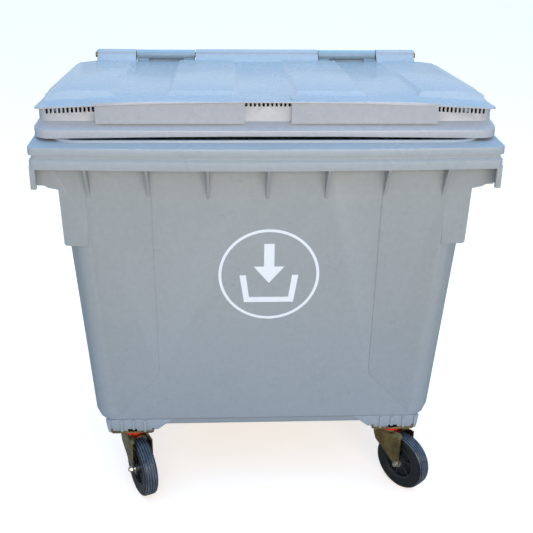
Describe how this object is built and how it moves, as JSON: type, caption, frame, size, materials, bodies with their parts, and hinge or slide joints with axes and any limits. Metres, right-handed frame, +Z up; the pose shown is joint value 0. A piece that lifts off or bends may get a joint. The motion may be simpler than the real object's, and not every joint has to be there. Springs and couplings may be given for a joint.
{
  "type": "wheelie bin",
  "caption": "Large wheeled waste container with a hinged domed lid, comb rims, side lifting pins and swivel casters.",
  "frame": {"origin": "on the floor, under the middle of the bin's bounding box", "axes": "+Z up, front towards -Y, +X to the right when seen from the front's own side looking along +Y"},
  "size_m": [1.37, 0.992, 1.3869],
  "materials": {
    "body_plastic": "satin grey moulded polyethylene",
    "lid_plastic": "satin grey moulded polyethylene",
    "white_print": "printed white film",
    "zinc_plate": "yellow zinc-plated steel",
    "bright_steel": "zinc-plated steel fasteners",
    "red_seal": "red moulded plastic",
    "tyre_rubber": "solid black rubber",
    "hub_plastic": "black moulded nylon",
    "gasket_rubber": "black rubber"
  },
  "bodies": {
    "bin": {"body": "body_plastic", "hinge_rod": "zinc_plate", "hinge_rod_clips": "zinc_plate", "emblem": "white_print", "trunnion_left": "zinc_plate", "trunnion_right": "zinc_plate", "trunnion_bolts": "bright_steel", "front_left_top_plate": "zinc_plate", "front_left_plate_bolts": "bright_steel", "front_left_swivel_balls": "bright_steel", "front_left_kingpin": "bright_steel", "front_right_top_plate": "zinc_plate", "front_right_plate_bolts": "bright_steel", "front_right_swivel_balls": "bright_steel", "front_right_kingpin": "bright_steel", "rear_left_top_plate": "zinc_plate", "rear_left_plate_bolts": "bright_steel", "rear_left_swivel_balls": "bright_steel", "rear_left_kingpin": "bright_steel", "rear_right_top_plate": "zinc_plate", "rear_right_plate_bolts": "bright_steel", "rear_right_swivel_balls": "bright_steel", "rear_right_kingpin": "bright_steel"},
    "lid": {"lid": "lid_plastic"},
    "drain_plug": {"drain_plug": "hub_plastic", "drain_gasket": "gasket_rubber"},
    "front_left_swivel": {"front_left_swivel_seal": "red_seal", "front_left_fork": "zinc_plate", "front_left_fork_bolt": "bright_steel", "front_left_axle_bolt": "bright_steel", "front_left_axle_nut": "bright_steel", "front_left_axle_sleeve": "bright_steel"},
    "front_left_wheel": {"front_left_wheel_bearing": "bright_steel", "front_left_wheel_hub": "hub_plastic", "front_left_tyre": "tyre_rubber"},
    "front_right_swivel": {"front_right_swivel_seal": "red_seal", "front_right_fork": "zinc_plate", "front_right_fork_bolt": "bright_steel", "front_right_axle_bolt": "bright_steel", "front_right_axle_nut": "bright_steel", "front_right_axle_sleeve": "bright_steel"},
    "front_right_wheel": {"front_right_wheel_bearing": "bright_steel", "front_right_wheel_hub": "hub_plastic", "front_right_tyre": "tyre_rubber"},
    "rear_left_swivel": {"rear_left_swivel_seal": "red_seal", "rear_left_fork": "zinc_plate", "rear_left_axle_bolt": "bright_steel", "rear_left_axle_nut": "bright_steel", "rear_left_axle_sleeve": "bright_steel"},
    "rear_left_wheel": {"rear_left_wheel_bearing": "bright_steel", "rear_left_wheel_hub": "hub_plastic", "rear_left_tyre": "tyre_rubber"},
    "rear_right_swivel": {"rear_right_swivel_seal": "red_seal", "rear_right_fork": "zinc_plate", "rear_right_axle_bolt": "bright_steel", "rear_right_axle_nut": "bright_steel", "rear_right_axle_sleeve": "bright_steel"},
    "rear_right_wheel": {"rear_right_wheel_bearing": "bright_steel", "rear_right_wheel_hub": "hub_plastic", "rear_right_tyre": "tyre_rubber"}
  },
  "joints": [
    {"name": "lid_hinge", "type": "hinge", "parent": "bin", "child": "lid", "pos_m": [0, 0.476, 1.341], "axis": [-1, 0, 0], "range_deg": [0, 270]},
    {"name": "drain_plug_turn", "type": "hinge", "parent": "bin", "child": "drain_plug", "pos_m": [0, 0, 0.27], "axis": [0, 0, -1], "range_deg": [0, 90]},
    {"name": "front_left_swivel_turn", "type": "hinge", "parent": "bin", "child": "front_left_swivel", "pos_m": [-0.445, -0.317, 0.22], "axis": [0, 0, 1], "continuous": true},
    {"name": "front_left_wheel_spin", "type": "hinge", "parent": "front_left_swivel", "child": "front_left_wheel", "pos_m": [-0.41653, -0.38095, 0.1], "axis": [0.9135, 0.4067, 0], "continuous": true},
    {"name": "front_right_swivel_turn", "type": "hinge", "parent": "bin", "child": "front_right_swivel", "pos_m": [0.445, -0.317, 0.22], "axis": [0, 0, 1], "continuous": true},
    {"name": "front_right_wheel_spin", "type": "hinge", "parent": "front_right_swivel", "child": "front_right_wheel", "pos_m": [0.49, -0.37062, 0.1], "axis": [0.766, 0.6428, 0], "continuous": true},
    {"name": "rear_left_swivel_turn", "type": "hinge", "parent": "bin", "child": "rear_left_swivel", "pos_m": [-0.445, 0.274, 0.22], "axis": [0, 0, 1], "continuous": true},
    {"name": "rear_left_wheel_spin", "type": "hinge", "parent": "rear_left_swivel", "child": "rear_left_wheel", "pos_m": [-0.43045, 0.20553, 0.1], "axis": [0.9781, 0.2079, 0], "continuous": true},
    {"name": "rear_right_swivel_turn", "type": "hinge", "parent": "bin", "child": "rear_right_swivel", "pos_m": [0.445, 0.274, 0.22], "axis": [0, 0, 1], "continuous": true},
    {"name": "rear_right_wheel_spin", "type": "hinge", "parent": "rear_right_swivel", "child": "rear_right_wheel", "pos_m": [0.47786, 0.21219, 0.1], "axis": [0.8829, 0.4695, 0], "continuous": true}
  ]
}
